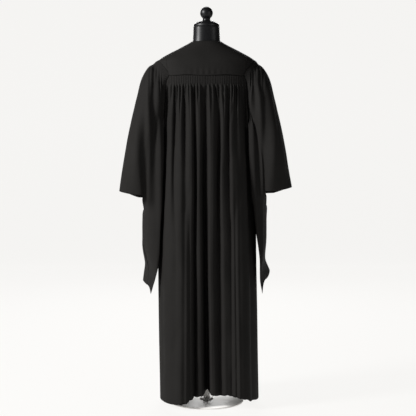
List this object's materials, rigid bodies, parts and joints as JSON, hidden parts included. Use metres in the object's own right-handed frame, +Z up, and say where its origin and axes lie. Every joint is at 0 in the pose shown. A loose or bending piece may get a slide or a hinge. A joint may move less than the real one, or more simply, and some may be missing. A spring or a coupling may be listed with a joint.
{
  "type": "graduation gown on a dress form",
  "caption": "Open black graduation gown with a gathered back and long closed sleeves, on a limbless dress form with a stand.",
  "frame": {"origin": "on the floor, under the middle of the whole object's box", "axes": "+Z up, -Y towards the wearer's front, +X towards the wearer's left"},
  "size_m": [0.65, 0.3061, 1.4894],
  "materials": {
    "gown_cloth": "matt plain-weave polyester and viscose cloth",
    "form_lacquer": "black gloss lacquer",
    "stand_paint": "off-white powder coat"
  },
  "bodies": {
    "root": {"yoke": "gown_cloth", "back_panel": "gown_cloth", "front_left": "gown_cloth", "front_right": "gown_cloth", "sleeve_left": "gown_cloth", "sleeve_right": "gown_cloth", "form_torso": "form_lacquer", "form_cap": "form_lacquer", "form_ball": "form_lacquer", "stand_pole": "stand_paint", "stand_base": "stand_paint"}
  },
  "joints": []
}
